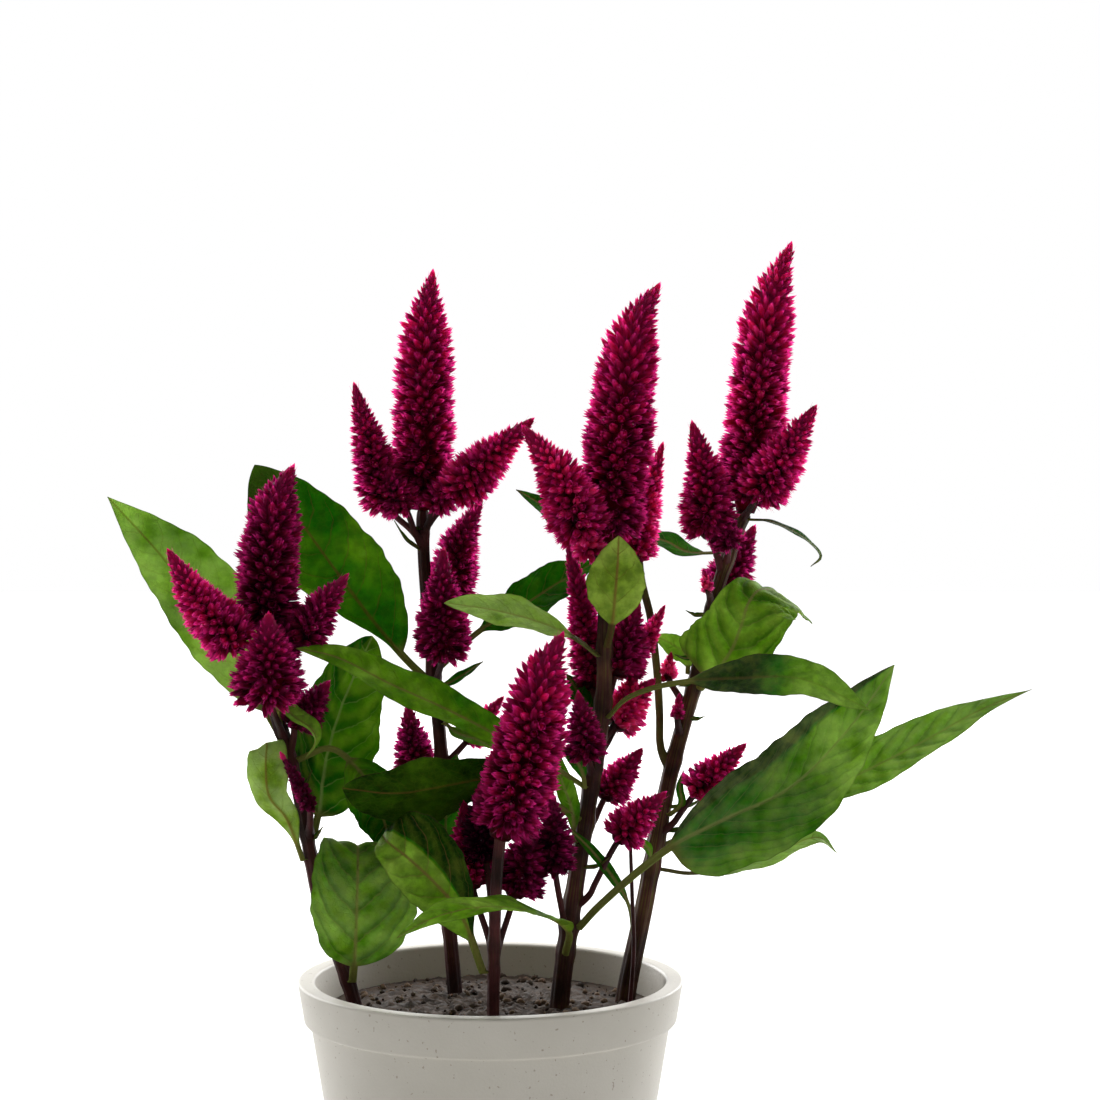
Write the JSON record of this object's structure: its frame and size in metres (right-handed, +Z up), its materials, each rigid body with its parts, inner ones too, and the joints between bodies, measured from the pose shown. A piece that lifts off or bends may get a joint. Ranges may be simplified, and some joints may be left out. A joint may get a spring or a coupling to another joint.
{
  "type": "potted plume celosia",
  "caption": "Celosia plant with dense upright magenta flower spikes and broad green leaves, growing in a plain round pot.",
  "frame": {"origin": "centre of the pot's flat underside", "axes": "+Z up along the plant, -Y towards the plant's front, +X to the right of its front"},
  "size_m": [0.3366, 0.1521, 0.3777],
  "materials": {
    "pot": "satin off-white glaze",
    "potting_mix": "rough crumbly dark brown",
    "stem": "satin ribbed brown-purple",
    "leaf": "satin veined green",
    "flower_spike": "soft papery magenta florets"
  },
  "bodies": {
    "root": {"pot": "pot", "potting_mix": "potting_mix", "stem_far_left": "stem", "stem_left": "stem", "stem_centre": "stem", "stem_right": "stem", "stem_front": "stem", "far_left_main_spike": "flower_spike", "far_left_spike_outer": "flower_spike", "far_left_spike_inner": "flower_spike", "far_left_spike_front": "flower_spike", "far_left_spike_lower": "flower_spike", "far_left_spike_stem": "flower_spike", "left_main_spike": "flower_spike", "left_spike_outer": "flower_spike", "left_spike_inner": "flower_spike", "left_spike_behind": "flower_spike", "left_spike_middle": "flower_spike", "left_spike_low_outer": "flower_spike", "left_spike_low_inner": "flower_spike", "centre_main_spike": "flower_spike", "centre_spike_left": "flower_spike", "centre_spike_tall_left": "flower_spike", "centre_spike_right": "flower_spike", "centre_spike_right_low": "flower_spike", "centre_spike_front": "flower_spike", "centre_spike_low_right": "flower_spike", "centre_spike_bottom_right": "flower_spike", "right_main_spike": "flower_spike", "right_spike_left": "flower_spike", "right_spike_right": "flower_spike", "right_spike_behind": "flower_spike", "right_spike_low": "flower_spike", "right_branch_spike": "flower_spike", "front_main_spike": "flower_spike", "front_spike_left": "flower_spike", "front_spike_right": "flower_spike", "front_spike_low": "flower_spike", "leaf_far_left_big": "leaf", "leaf_left_big": "leaf", "leaf_far_left_upright": "leaf", "leaf_centre_crossing": "leaf", "leaf_far_left_low": "leaf", "leaf_centre_dark": "leaf", "leaf_far_left_drooping": "leaf", "leaf_left_low": "leaf", "leaf_left_tall": "leaf", "leaf_front_broad": "leaf", "leaf_front_low": "leaf", "leaf_left_inner": "leaf", "leaf_centre_pale": "leaf", "leaf_centre_small": "leaf", "leaf_right_arched": "leaf", "leaf_centre_long": "leaf", "leaf_centre_big": "leaf", "leaf_right_low": "leaf", "leaf_right_far": "leaf", "leaf_right_hooked": "leaf", "leaf_right_back": "leaf", "leaf_centre_back": "leaf"}
  },
  "joints": []
}
